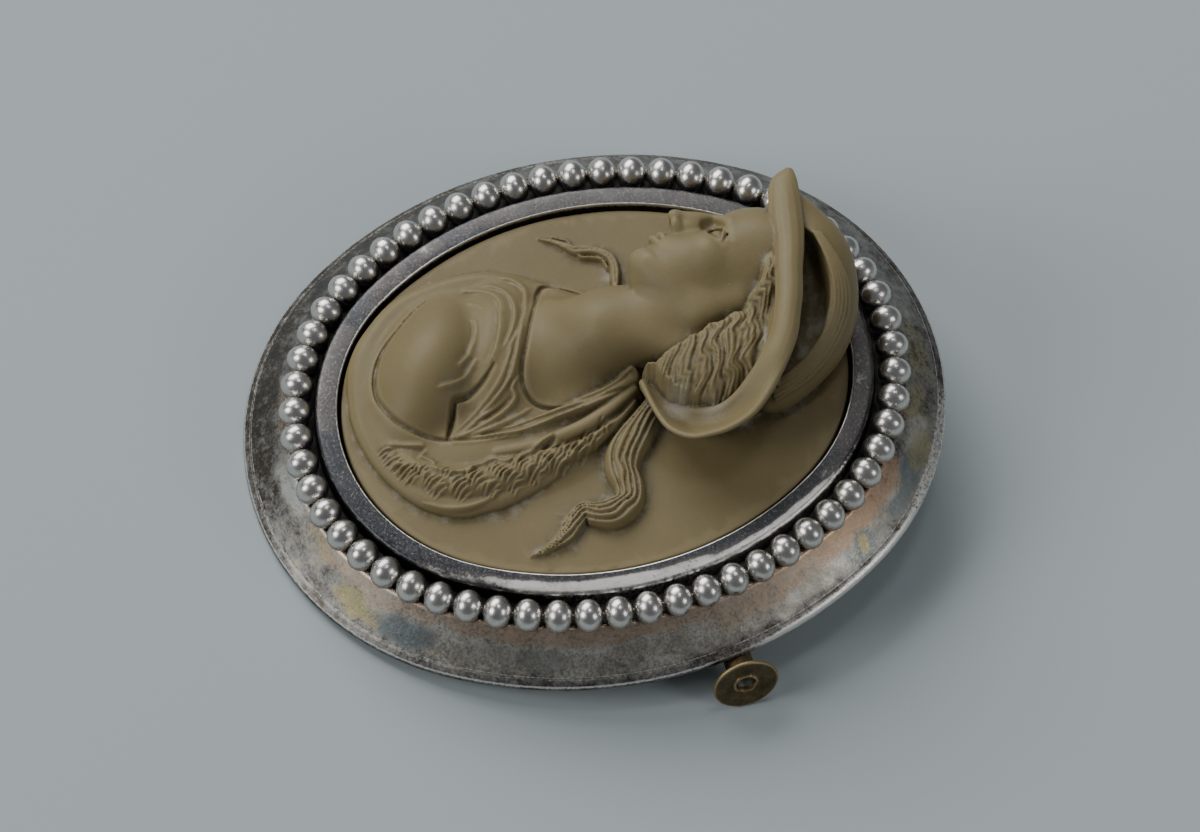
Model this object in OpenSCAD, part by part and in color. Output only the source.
// Oval cameo brooch: a carved lava bust in a silver frame with a row of beads, and a sliding
// tube clasp behind it. It lies face up on its rim, its hinge and the clasp's end disc.
// Brooch frame: +X to the portrait's right, +Y to its crown, +Z out of the face, z = 0 at the back.

/* [Frame] */
// Length of the rim, along the portrait's height
rim_len = 54.6; // [51:0.2:60]
// Width of the rim
rim_wid = 46.4; // [42:0.2:48]
// Radius of the rim's end arcs as a share of half its width
end_share = 0.927; // [0.88:0.005:0.95]
// Thickness of the back plate behind the cameo
back_t = 0.8; // [0.5:0.1:1.4]
// Thickness of the rim's thin edge
edge_t = 0.4; // [0.3:0.05:0.7]
// Distance from the rim's edge to the line scratched round it
border_w = 0.55; // [0.4:0.05:0.9]
// Width and depth of that line
border_cut = 0.1; // [0.06:0.02:0.16]
// Width of the sloping flange
flange_w = 3.2; // [2.6:0.1:3.6]
// Height of the flange's inner edge
flange_h = 3.65; // [3.2:0.05:4.2]
// How far the flange sags below a straight slope
flange_sag = 0.12; // [0:0.02:0.3]
// Depth of the bead channel below the flange's inner edge
channel_depth = 0.33; // [0.2:0.01:0.6]
// Width of the bead channel
channel_w = 2.4; // [2.4:0.05:2.8]
// Width of the bezel's flat top
bezel_w = 1.7; // [1.2:0.1:2.2]
// Height of the bezel's top above the back
bezel_h = 5.2; // [4.8:0.1:6]
// Radius of the bezel's outer top edge
bezel_round = 0.35; // [0.15:0.05:0.5]

/* [Beads] */
// Diameter of a bead
bead_d = 2.05; // [1.7:0.05:2.1]
// Distance between bead centres along the row
bead_pitch = 2.3; // [2.2:0.05:2.6]
// Diameter of the short necks that join the beads
bead_neck_d = 0.6; // [0.4:0.05:0.8]
// Clearance below the beads
bead_gap = 0.05; // [0.03:0.01:0.1]
// Gap between the beads and the bezel's wall
bead_wall_gap = 0.4; // [0.3:0.05:0.5]
// Place of the first bead, as a share of the pitch
bead_start = 0.1; // [0:0.05:1]

/* [Cameo] */
// Gap between the cameo's edge and the bezel
cameo_gap = 0.3; // [0.15:0.05:0.4]
// Height of the cameo's ground above the back, at its edge
ground_h = 4.7; // [4.2:0.1:5]
// Crown of the ground's gentle dome
ground_crown = 0.35; // [0:0.05:0.6]
// Height of the highest relief above the ground
relief_h = 9.3; // [7:0.1:10]
// Softness of the blends between the carved forms
carve_soft = 0.3; // [0.2:0.05:0.5]
// Clearance of the hat where it hangs over the bezel and the beads
hat_gap = 0.25; // [0.15:0.05:0.5]

/* [Clasp] */
// Distance of the pin line above the middle, towards the crown
pin_y = 4.7; // [3:0.1:7]
// Outer diameter of the fixed tube
tube_d = 2.2; // [1.9:0.1:2.6]
// Wall of the fixed tube
tube_wall = 0.3; // [0.2:0.05:0.4]
// Length of the fixed tube
tube_len = 9; // [8:0.2:11]
// How far the fixed tube stands out past the rim
tube_out = 1; // [0.6:0.1:1.6]
// Clearance of the sliding tube in the fixed one
slide_gap = 0.05; // [0.04:0.01:0.08]
// Bore of the sliding tube
pull_bore = 1; // [0.9:0.05:1.1]
// How far the clasp slides out
slide_travel = 4.5; // [4:0.1:5]
// Clearance of the open sliding tube past the pin's tip
release_gap = 0.5; // [0.3:0.1:1]
// Diameter of the end disc
disc_d = 5.15; // [4.6:0.05:6]
// Thickness of the end disc
disc_t = 0.35; // [0.3:0.05:0.5]
// Depth of the disc's dish
disc_dish = 0.3; // [0.1:0.05:0.4]
// Diameter of the rolled lip round the disc's hole
lip_d = 1.95; // [1.8:0.05:2.2]
// Lean of the disc
disc_lean = 10; // [0:1:12]
// Gap between the closed disc and the end of the fixed tube
disc_gap = 0.1; // [0.05:0.05:0.4]

/* [Pin] */
// Diameter of the pin's stem
stem_d = 0.8; // [0.6:0.05:0.85]
// Distance from the rim's edge to the hinge
hinge_inset = 3.4; // [3:0.1:5]
// Width of the hinge along the stem
hinge_w = 2.6; // [2:0.1:3.2]
// Width of the hinge across the stem
hinge_t = 2.4; // [2:0.1:3]
// Clearance between the back and what is fastened to it
back_gap = 0.05; // [0.04:0.01:0.1]
// Length of the stem's point
point_len = 2.2; // [1.5:0.1:3]
// Diameter of the stem's blunt tip
tip_d = 0.2; // [0.1:0.05:0.3]
// Gap between the stem's tip and the fixed tube
tip_gap = 0.3; // [0.2:0.1:0.6]

/* [Hidden] */
$fn = 48;
silver = "silver";
lava = "#8a7c58";
brass = "#8f7440";
// How far a cutter reaches past what it cuts
over = 1;

// The four-centred oval: every outline here is parallel to the rim and keeps its centres.
half_len = rim_len / 2;
half_wid = rim_wid / 2;
end_r = end_share * half_wid;
end_c = half_len - end_r;
side_k = half_wid - end_r;
side_c = (end_c * end_c - side_k * side_k) / (2 * side_k);
side_r = half_wid + side_c;
join_a = atan2(side_c, end_c);

// Offsets of the outlines from the rim's edge, inwards
channel_s = -flange_w;
bezel_s = channel_s - channel_w;
seat_s = bezel_s - bezel_w;
cameo_s = seat_s - cameo_gap;
bead_s = bezel_s + bead_wall_gap + bead_d / 2;
floor_h = flange_h - channel_depth;
bead_h = floor_h + bead_gap + bead_d / 2;

// A point at the height z of the outline with offset s, in the direction t from the crown end
function ring_point(t, s, z) = concat(oval_point(t, s), z);

// Side faces between neighbouring rings of points, and round each ring
function band_faces(rings, count) = [
    for (r = [0 : rings - 2]) for (i = [0 : count - 1])
        let (a = r * count + i, b = r * count + (i + 1) % count)
        each [[a, b, b + count], [a, b + count, a + count]]
];

// Bead centres, by the length along one quarter of the oval
deg = PI / 180;
bead_end_len = (end_r + bead_s) * join_a * deg;
bead_side_len = (side_r + bead_s) * (90 - join_a) * deg;
quarter_len = bead_end_len + bead_side_len;
bead_count = round(4 * quarter_len / bead_pitch);

function quarter_turn(l) = l < bead_end_len
    ? l / bead_end_len * join_a
    : join_a + (l - bead_end_len) / bead_side_len * (90 - join_a);

function turn_at(l) = let (q = floor(l / quarter_len), r = l - q * quarter_len)
    q % 2 == 0 ? 90 * q + quarter_turn(r) : 90 * (q + 1) - quarter_turn(quarter_len - r);

function arc_centre(t) = abs(cos(t)) > cos(join_a)
    ? [0, sign(cos(t)) * end_c]
    : [-sign(sin(t)) * side_c, 0];

function arc_radius(t) = abs(cos(t)) > cos(join_a) ? end_r : side_r;

function oval_point(t, s) = arc_centre(t) + (arc_radius(t) + s) * [sin(t), cos(t)];

function bead_at(i) = let (t = turn_at((i + bead_start) / bead_count * 4 * quarter_len))
    concat(oval_point(t, bead_s), bead_h);

// How it lies: the hinge and the disc hold the pin line up, and the rim's lower end touches
disc_drop = disc_d / 2 * cos(disc_lean) + disc_t / 2 * sin(disc_lean);
line_h = -back_gap - tube_d / 2;
rest_arm = half_len + pin_y;
rest_tilt = asin(disc_drop / sqrt(rest_arm * rest_arm + line_h * line_h))
    + atan2(-line_h, rest_arm);
rest_lift = half_len * sin(rest_tilt);

// The clasp's places along the pin line
rim_x = arc_cross(pin_y, 0);
tube_x1 = rim_x + tube_out;
tube_x0 = tube_x1 - tube_len;
tip_x = tube_x0 - tip_gap;
pull_x0 = tip_x - slide_travel + release_gap;
disc_x = tube_x1 + disc_gap + disc_t / 2 + disc_dish + tube_d / 2 * sin(disc_lean);
disc_far = disc_x + disc_d / 2 * sin(disc_lean) + disc_t / 2 * cos(disc_lean);
mid_x = (disc_far - half_wid) / 2;
mid_y = -edge_t * sin(rest_tilt) / 2;

// Half width of the oval of offset s, at the height y
function arc_cross(y, s) = sqrt(pow(side_r + s, 2) - y * y) - side_c;

module lying() {
    translate([-mid_x, -mid_y, rest_lift]) rotate([rest_tilt, 0, 0]) children();
}

// Profile of the frame from the seat's floor over the bezel and flange to the back, as [s, z]
flange_mid = channel_s / 2;
flange_mid_h = (edge_t + flange_h) / 2 - flange_sag;
border_slope = (flange_mid_h - edge_t) / -flange_mid;
round_steps = 4;
frame_profile = [
    [seat_s, back_t],
    [seat_s, bezel_h],
    for (i = [round_steps : -1 : 0]) let (a = i * 90 / round_steps)
        [bezel_s - bezel_round * (1 - cos(a)), bezel_h - bezel_round * (1 - sin(a))],
    [bezel_s, floor_h],
    [channel_s - channel_depth / 2, floor_h],
    [channel_s, flange_h],
    [flange_mid, flange_mid_h],
    [-border_w - border_cut, edge_t + (border_w + border_cut) * border_slope],
    [-border_w - border_cut / 2, edge_t + border_w * border_slope - border_cut],
    [-border_w, edge_t + border_w * border_slope],
    [0, edge_t],
    [0, 0]
];

module frame() {
    stations = 96;
    rings = len(frame_profile);
    points = [
        for (q = frame_profile) for (i = [0 : stations - 1])
            ring_point(i * 360 / stations, q[0], q[1]),
        [0, 0, back_t],
        [0, 0, 0]
    ];
    seat = rings * stations;
    last = (rings - 1) * stations;
    floor_fan = [for (i = [0 : stations - 1]) [seat, (i + 1) % stations, i]];
    back_fan = [for (i = [0 : stations - 1]) [seat + 1, last + i, last + (i + 1) % stations]];
    color(silver) lying()
        polyhedron(points, concat(floor_fan, band_faces(rings, stations), back_fan));
}

// The necks start inside the beads, at this share of their radius
NECK_ROOT = 0.6;

module bead_wire() {
    neck_start = NECK_ROOT * bead_d / 2;
    color(silver) lying() for (i = [0 : bead_count - 1]) {
        here = bead_at(i);
        step = bead_at((i + 1) % bead_count) - here;
        translate(here) rotate(atan2(step.y, step.x)) {
            rotate(90) sphere(d = bead_d);
            translate([neck_start, 0, 0]) rotate([0, 90, 0])
                cylinder(d = bead_neck_d, h = norm(step) - 2 * neck_start);
        }
    }
}

// The carving's units: tables give x as hundredths of the cameo's half width, y of its half
// length, radii of its half width and heights above the ground of the highest relief.
face_wid = (half_wid + cameo_s) / 100;
face_len = (half_len + cameo_s) / 100;
face_high = relief_h / 100;

// Rounded forms: x, y, radius across, radius along, turn, height of the middle, rise above it
DOMES = [
    [-32, -58, 41, 33, -20, -8, 54],   // near shoulder
    [-26, -30, 51, 32, -20, -9, 46],   // chest
    [-22, -8, 38, 29, 0, -9, 41],      // breast below the neck
    [-10, 53, 45, 42, 0, 31, 53],      // skull
    [-38, 52, 30, 38, 8, 31, 42],      // front of the head
    [-35, 31, 28, 19, -25, 29, 38],    // jaw
    [-56, 27, 9, 9, 0, 31, 18],        // chin
    [-53, 71, 18, 18, 0, 31, 34],      // forehead
    [-65, 40, 5, 4, 0, 33, 10],        // lips
    [15, 49, 30, 38, -15, 27, 53]      // hair over the ear
];

// Long forms, as rows of x, y, radius and height of the core
NECK = [[-21, -15, 28, -3], [-13, 25, 24, 20]];
NOSE = [[-66, 64, 5, 37], [-75, 50, 5, 36], [-70, 47, 5, 36]];
NECKLINE = [
    [10, 15, 5, 25], [12, -10, 5, 25], [8, -24, 5, 25], [0, -29, 5, 27], [-15, -27, 5, 28],
    [-30, -18, 4, 27], [-47, -12, 4, 17], [-53, -6, 4, 12], [-53, 0, 4, 10], [-45, 11, 3, 12]
];
SHOULDER_FOLDS = [
    [[-70, -23, 4, 8], [-48, -22, 4, 25], [-26, -32, 4, 35], [-6, -48, 4, 31], [6, -63, 4, 18]],
    [[-73, -33, 4, 8], [-51, -32, 4, 31], [-29, -42, 4, 41], [-14, -54, 4, 39], [-4, -65, 4, 27]],
    [[-73, -43, 4, 8], [-55, -42, 4, 35], [-35, -49, 4, 44], [-22, -59, 4, 44]]
];
DRAPE_EDGE = [
    [14, 13, 8, 13], [28, -10, 12, 8], [38, -36, 15, 3], [40, -56, 15, 2], [33, -73, 15, 0],
    [17, -83, 11, -1], [-10, -87, 6, -3]
];
DRAPE_FOLD = [
    [12, 13, 6, 18], [17, -15, 9, 12], [19, -41, 10, 10], [14, -61, 10, 8], [4, -74, 8, 3]
];
BACK_LOCK = [
    [22, 15, 6, 10], [40, 11, 8, 6], [53, 6, 8, 5], [67, 4, 8, 4], [75, -4, 8, 4],
    [74, -14, 7, 3], [69, -21, 6, 3], [72, -29, 5, 2], [78, -36, 4, 1], [80, -44, 2, 0]
];
FRONT_LOCK = [
    [-53, 20, 4, 10], [-65, 23, 4, 6], [-74, 18, 4, 3], [-74, 11, 4, 2], [-81, 6, 3, 1],
    [-87, 0, 2, 0]
];
RIDGES = concat([NECK, NOSE, NECKLINE, DRAPE_EDGE, DRAPE_FOLD, BACK_LOCK, FRONT_LOCK],
    SHOULDER_FOLDS);

// The hat: its crown as balls of x, y, height and radius, and its brim as a ribbon between an
// inner and an outer edge, as rows of both edges' x and y, their height and their radius
CROWN = [
    [-40, 91, 57, 10], [-21, 93, 46, 17], [1, 90, 35, 21], [22, 83, 25, 19], [35, 71, 16, 15],
    [38, 58, 10, 12]
];
BRIM = [
    [-71, 96, -71, 97, 77, 3], [-60, 87, -57, 97, 81, 4], [-43, 83, -37, 95, 85, 5],
    [-22, 80, -16, 91, 89, 5], [-2, 76, 4, 86, 91, 5], [14, 72, 24, 80, 91, 5],
    [28, 65, 38, 72, 88, 5], [37, 57, 51, 60, 83, 5], [43, 47, 58, 48, 72, 5],
    [42, 38, 60, 36, 59, 5], [31, 30, 53, 25, 48, 5], [20, 22, 36, 18, 40, 4],
    [10, 17, 12, 17, 34, 3]
];
HEAD_MIDDLE = [-10, 53];
BRIM_ROOT = 0.45;

function spot(x, y, z) = [x * face_wid, y * face_len, ground_h + z * face_high];

// Height of a dome, or of a stretch of a long form, at the point p. Past its outline a form
// falls away at a fixed steepness, and the outermost share of the ground stays plain.
CLIFF = 2.2;
PLAIN_EDGE = 0.99;

function dome_height(p, d) = let (
    at = spot(d[0], d[1], d[5]),
    dx = p.x - at.x,
    dy = p.y - at.y,
    across = (dx * cos(d[4]) + dy * sin(d[4])) / (d[2] * face_wid),
    along = (dy * cos(d[4]) - dx * sin(d[4])) / (d[3] * face_wid),
    q = norm([across, along])
) q < 1
    ? at.z + d[6] * face_high * sqrt(1 - q * q)
    : at.z - CLIFF * (q - 1) * min(d[2], d[3]) * face_wid;

function stretch_height(p, a, b) = let (
    from = spot(a[0], a[1], a[3]),
    to = spot(b[0], b[1], b[3]),
    way = [to.x - from.x, to.y - from.y],
    t = min(1, max(0, [p.x - from.x, p.y - from.y] * way / (way * way))),
    r = (a[2] + (b[2] - a[2]) * t) * face_wid,
    d = norm([p.x, p.y] - [from.x, from.y] - t * way)
) from.z + (to.z - from.z) * t + (d < r ? sqrt(r * r - d * d) : CLIFF * (r - d));

function ridge_height(p, rows) = max([
    for (i = [0 : len(rows) - 2]) stretch_height(p, rows[i], rows[i + 1])
]);

function soft_max(list) = let (top = max(list))
    top + carve_soft * ln([for (h = list) exp((h - top) / carve_soft)] * [for (h = list) 1]);

function carved_height(p, share) = let (
    ground = ground_h + ground_crown * (1 - share * share),
    forms = concat(
        [ground],
        [for (d = DOMES) dome_height(p, d)],
        [for (r = RIDGES) ridge_height(p, r)]
    )
) share > PLAIN_EDGE ? ground : soft_max(forms);

// A square grid drawn onto the oval, as [x, y, share of the way out to the edge]
function grid_spot(s, t) = let (
    u = s * sqrt(1 - t * t / 2),
    v = t * sqrt(1 - s * s / 2),
    share = norm([u, v])
) concat(share * oval_point(atan2(u, v), cameo_s), share);

// The carved plaque without the hat, closed below by its flat back
module carved_plaque() {
    cells = 56;
    row = cells + 1;
    bottom = back_t + back_gap;
    spots = [for (j = [0 : cells]) for (i = [0 : cells])
        grid_spot(2 * i / cells - 1, 2 * j / cells - 1)];
    edge = concat(
        [for (i = [0 : cells - 1]) i],
        [for (j = [0 : cells - 1]) j * row + cells],
        [for (i = [0 : cells - 1]) cells * row + cells - i],
        [for (j = [0 : cells - 1]) (cells - j) * row]
    );
    count = len(edge);
    base = len(spots);
    points = concat(
        [for (q = spots) [q[0], q[1], carved_height(q, q[2])]],
        [for (e = edge) [spots[e][0], spots[e][1], bottom]],
        [[0, 0, bottom]]
    );
    top_faces = [for (j = [0 : cells - 1]) for (i = [0 : cells - 1])
        let (a = j * row + i)
        each [[a, a + row, a + row + 1], [a, a + row + 1, a + 1]]];
    wall_faces = [for (k = [0 : count - 1]) let (n = (k + 1) % count)
        each [[edge[k], edge[n], base + n], [edge[k], base + n, base + k]]];
    back_faces = [for (k = [0 : count - 1]) [base + count, base + k, base + (k + 1) % count]];
    polyhedron(points, concat(top_faces, wall_faces, back_faces));
}

module hat_crown() {
    for (i = [0 : len(CROWN) - 2]) hull() for (q = [CROWN[i], CROWN[i + 1]])
        translate(spot(q[0], q[1], q[2])) sphere(r = q[3] * face_wid, $fn = 20);
}

// A cut through the brim: a ball at each edge, and one at its root, part of the way to the head
module brim_section(q) {
    middle = [(q[0] + q[2]) / 2, (q[1] + q[3]) / 2];
    root = (1 - BRIM_ROOT) * middle + BRIM_ROOT * HEAD_MIDDLE;
    radius = q[5] * face_wid;
    translate(spot(q[0], q[1], q[4])) sphere(r = radius, $fn = 10);
    translate(spot(q[2], q[3], q[4])) sphere(r = radius, $fn = 10);
    translate(spot(root.x, root.y, q[4] * BRIM_ROOT)) sphere(r = radius, $fn = 6);
}

module hat_brim() {
    for (i = [0 : len(BRIM) - 2]) hull() {
        brim_section(BRIM[i]);
        brim_section(BRIM[i + 1]);
    }
}

// What the hat keeps clear of: everything outside the cameo's edge, up to just over the bezel
module bezel_room() {
    steps = 72;
    outline = [for (i = [0 : steps - 1]) oval_point(-i * 360 / steps, cameo_s)];
    difference() {
        translate([-half_wid, -half_len, 0]) cube([rim_wid, rim_len, bezel_h + hat_gap]);
        translate([0, 0, -over]) linear_extrude(bezel_h + hat_gap + 2 * over) polygon(outline);
    }
}

module cameo() {
    color(lava) lying() {
        carved_plaque();
        difference() {
            union() {
                hat_crown();
                hat_brim();
            }
            bezel_room();
        }
    }
}

// The fixed tube of the clasp, along the pin line behind the rim
module clasp_tube() {
    color(brass) lying() translate([tube_x0, pin_y, line_h]) rotate([0, 90, 0]) difference() {
        cylinder(d = tube_d, h = tube_len);
        translate([0, 0, -over]) cylinder(d = tube_d - 2 * tube_wall, h = tube_len + 2 * over);
    }
}

// The sliding tube with its leaning, dished end disc
module clasp_pull() {
    slide_d = tube_d - 2 * tube_wall - 2 * slide_gap;
    disc_r = disc_d / 2;
    color(brass) lying() translate([0, pin_y, line_h]) difference() {
        union() {
            translate([pull_x0, 0, 0]) rotate([0, 90, 0]) cylinder(d = slide_d, h = disc_x - pull_x0);
            translate([disc_x, 0, 0]) rotate([0, 90 - disc_lean, 0]) rotate_extrude() polygon([
                [0, -disc_t / 2 - disc_dish],
                [lip_d / 2, -disc_t / 2 - disc_dish],
                [disc_r - disc_t, -disc_t / 2],
                [disc_r, -disc_t / 2],
                [disc_r, disc_t / 2],
                [disc_r - disc_t, disc_t / 2],
                [lip_d / 2, disc_t / 2 - disc_dish],
                [lip_d / 2 - disc_t / 2, disc_t / 2],
                [0, disc_t / 2]
            ]);
        }
        translate([pull_x0 - over, 0, 0]) rotate([0, 90, 0])
            cylinder(d = pull_bore, h = disc_far - pull_x0 + 2 * over);
    }
}

// The hidden pin: a hinge block with a rounded foot, and a stem whose point the clasp covers
module pin() {
    hinge_x = hinge_inset - rim_x;
    foot_r = hinge_w / 2;
    foot_h = (foot_r - rest_arm * sin(rest_tilt)) / cos(rest_tilt);
    stem_len = tip_x - hinge_x - point_len;
    color(brass) lying() translate([hinge_x, pin_y, 0]) {
        translate([-foot_r, -hinge_t / 2, foot_h]) cube([hinge_w, hinge_t, -foot_h - back_gap]);
        translate([0, hinge_t / 2, foot_h]) rotate([90, 0, 0]) cylinder(r = foot_r, h = hinge_t);
        translate([0, 0, line_h]) rotate([0, 90, 0]) {
            cylinder(d = stem_d, h = stem_len);
            translate([0, 0, stem_len]) cylinder(d1 = stem_d, d2 = tip_d, h = point_len);
        }
    }
}

frame();
bead_wire();
cameo();
clasp_tube();
clasp_pull();
pin();
